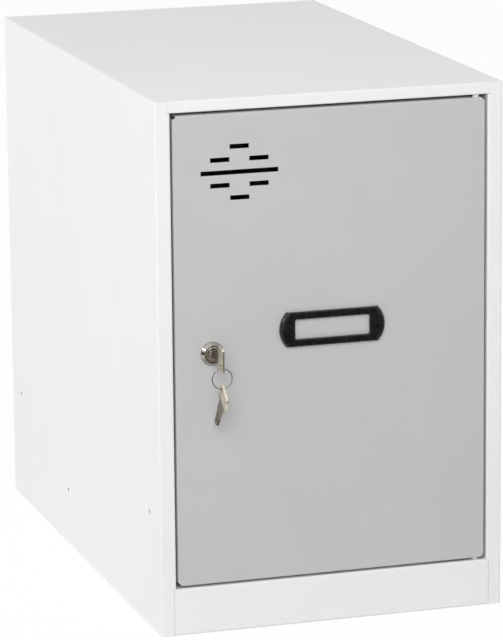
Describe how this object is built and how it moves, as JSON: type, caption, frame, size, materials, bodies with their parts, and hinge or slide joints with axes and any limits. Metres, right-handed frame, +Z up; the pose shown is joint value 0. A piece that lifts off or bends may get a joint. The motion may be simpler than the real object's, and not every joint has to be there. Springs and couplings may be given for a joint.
{
  "type": "locker",
  "caption": "Compact steel locker with a vented folded door on pin hinges, a cam lock with keys on a wire ring, a label holder and a folded plinth base.",
  "frame": {"origin": "on the floor, under the middle of the cabinet's footprint", "axes": "+X to the right as seen from the door, +Y to the back, +Z up"},
  "size_m": [0.3, 0.542, 0.45],
  "materials": {
    "white_powder_coat": "smooth semi-gloss white powder coat on sheet steel",
    "grey_powder_coat": "smooth semi-gloss light grey powder coat on sheet steel",
    "black_plastic": "moulded black plastic with a fine grain",
    "lock_chrome": "bright plated zinc casting",
    "key_nickel": "nickel plated, stamped",
    "wafer_brass": "stamped brass",
    "zinc_plated_steel": "zinc plated steel",
    "white_nylon": "moulded nylon",
    "buffer_rubber": "moulded rubber"
  },
  "bodies": {
    "cabinet": {"left_side_panel": "white_powder_coat", "right_side_panel": "white_powder_coat", "top_panel": "white_powder_coat", "base_panel": "white_powder_coat", "back_panel": "white_powder_coat", "upper_hinge_pin": "zinc_plated_steel", "lower_hinge_pin": "zinc_plated_steel", "door_buffers": "buffer_rubber"},
    "door": {"door_panel": "grey_powder_coat", "door_stiffener": "grey_powder_coat", "upper_hinge_bush": "white_nylon", "lower_hinge_bush": "white_nylon", "label_holder": "black_plastic", "lock_housing": "lock_chrome", "lock_washer": "zinc_plated_steel", "lock_nut": "zinc_plated_steel"},
    "plug": {"lock_plug": "lock_chrome", "wafer_tumblers": "wafer_brass", "stop_washer": "zinc_plated_steel", "lock_cam": "zinc_plated_steel", "cam_screw": "zinc_plated_steel"},
    "inserted_key": {"key": "key_nickel"},
    "ring": {"key_ring": "zinc_plated_steel"},
    "hanging_key": {"spare_key": "key_nickel"}
  },
  "joints": [
    {"name": "door_hinge", "type": "hinge", "parent": "cabinet", "child": "door", "pos_m": [0.128, -0.2445, 0.24], "axis": [0, 0, 1], "range_deg": [0, 110]},
    {"name": "lock_turn", "type": "hinge", "parent": "door", "child": "plug", "pos_m": [-0.1035, -0.2495, 0.2385], "axis": [0, 1, 0], "range_deg": [0, 90]},
    {"name": "key_slide", "type": "slide", "parent": "plug", "child": "inserted_key", "axis": [0, -1, 0], "range_m": [0, 0.016]},
    {"name": "ring_swing", "type": "hinge", "parent": "inserted_key", "child": "ring", "pos_m": [-0.1035, -0.2766, 0.2335], "axis": [-1, 0, 0], "range_deg": [-5, 45]},
    {"name": "spare_key_swing", "type": "hinge", "parent": "ring", "child": "hanging_key", "pos_m": [-0.1035, -0.27794, 0.21375], "axis": [-1, 0, 0], "range_deg": [-5, 45]}
  ]
}
